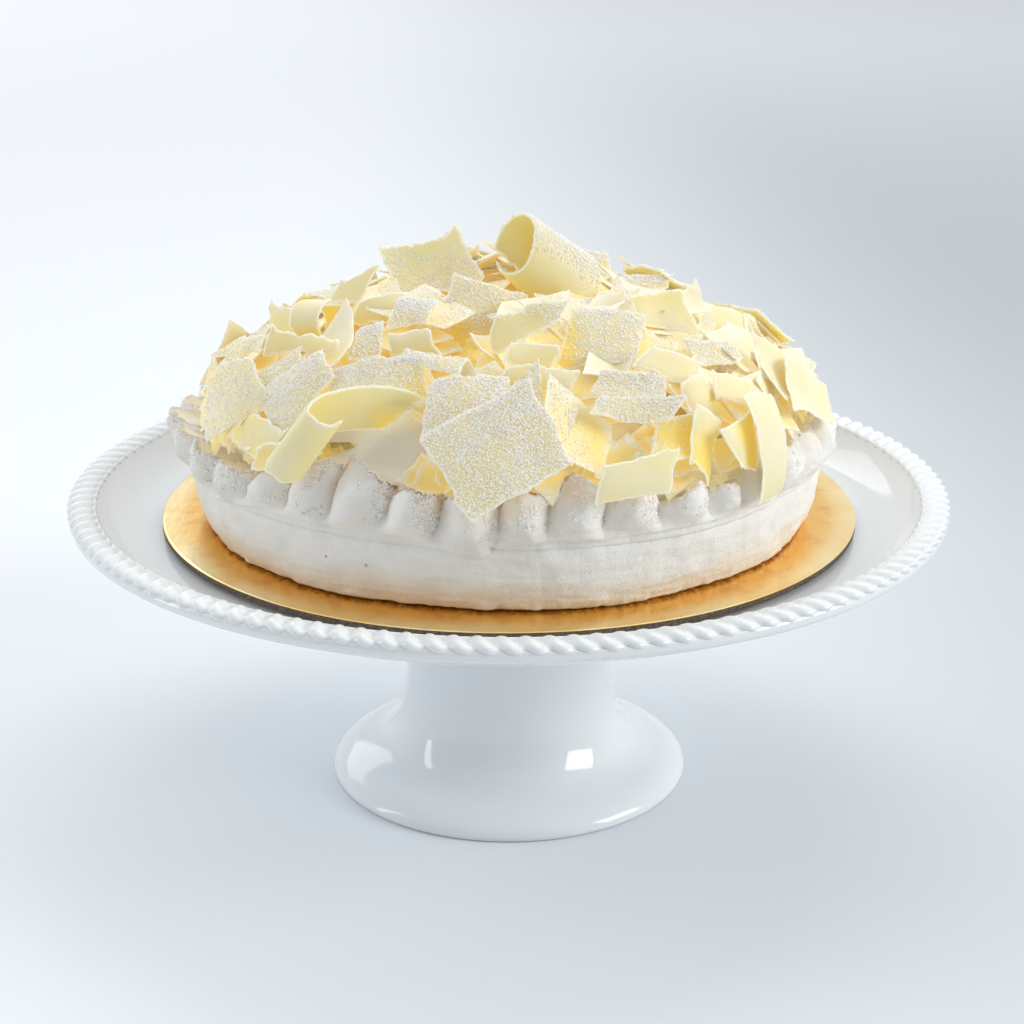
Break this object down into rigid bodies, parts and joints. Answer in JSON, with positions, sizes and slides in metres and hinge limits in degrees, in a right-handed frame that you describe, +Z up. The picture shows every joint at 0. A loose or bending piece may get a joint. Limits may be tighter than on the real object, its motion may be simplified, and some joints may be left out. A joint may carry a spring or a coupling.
{
  "type": "vacherin cake on a cake stand",
  "caption": "Round meringue cake with a piped border, cream filling and a heap of sugared white chocolate shavings, on a gold board and a white ceramic cake stand.",
  "frame": {"origin": "centre of the underside of the stand's foot, on the surface it stands on", "axes": "+Z up along the stand's axis; -Y towards the front, the side the large square shaving leans over; +X to the right seen from the front"},
  "size_m": [0.3328, 0.3328, 0.2249],
  "materials": {
    "stand_glaze": "gloss",
    "board_foil": "polished",
    "meringue": "matte",
    "cream": "satin",
    "white_chocolate": "satin"
  },
  "bodies": {
    "root": {"cake_stand": "stand_glaze", "cake_board": "board_foil", "meringue_base": "meringue", "piped_border": "meringue", "cream_filling": "cream", "shavings_heap": "white_chocolate", "shaving_back_01": "white_chocolate", "shaving_back_02": "white_chocolate", "shaving_back_03": "white_chocolate", "shaving_back_04": "white_chocolate", "shaving_back_05": "white_chocolate", "shaving_back_06": "white_chocolate", "shaving_back_07": "white_chocolate", "shaving_back_08": "white_chocolate", "shaving_back_09": "white_chocolate", "shaving_back_10": "white_chocolate", "shaving_behind_curl": "white_chocolate", "shaving_centre_sheet": "white_chocolate", "shaving_far_right_back": "white_chocolate", "shaving_front_behind": "white_chocolate", "shaving_front_clean": "white_chocolate", "shaving_front_curl": "white_chocolate", "shaving_front_square": "white_chocolate", "shaving_leaf_dusted": "white_chocolate", "shaving_leaf_under": "white_chocolate", "shaving_ledge_dusted": "white_chocolate", "shaving_ledge_left": "white_chocolate", "shaving_left_band": "white_chocolate", "shaving_left_behind": "white_chocolate", "shaving_left_dusted": "white_chocolate", "shaving_left_flakes": "white_chocolate", "shaving_left_lower": "white_chocolate", "shaving_left_outer": "white_chocolate", "shaving_left_ring": "white_chocolate", "shaving_left_shelf": "white_chocolate", "shaving_left_upright": "white_chocolate", "shaving_long_dusted_edge": "white_chocolate", "shaving_low_left": "white_chocolate", "shaving_low_left_tip": "white_chocolate", "shaving_middle_band": "white_chocolate", "shaving_peak_back_sheet": "white_chocolate", "shaving_peak_roll": "white_chocolate", "shaving_peak_shoulder": "white_chocolate", "shaving_peak_square": "white_chocolate", "shaving_right_band": "white_chocolate", "shaving_right_clean": "white_chocolate", "shaving_right_dusted": "white_chocolate", "shaving_right_dusted_top": "white_chocolate", "shaving_right_face": "white_chocolate", "shaving_right_fold": "white_chocolate", "shaving_right_long": "white_chocolate", "shaving_right_outer": "white_chocolate", "shaving_right_oval": "white_chocolate", "shaving_right_shoulder": "white_chocolate", "shaving_right_upright": "white_chocolate", "shaving_shelf_dusted": "white_chocolate", "shaving_top_back_dusted": "white_chocolate", "shaving_upper_right": "white_chocolate", "shaving_yellow_under": "white_chocolate"}
  },
  "joints": []
}
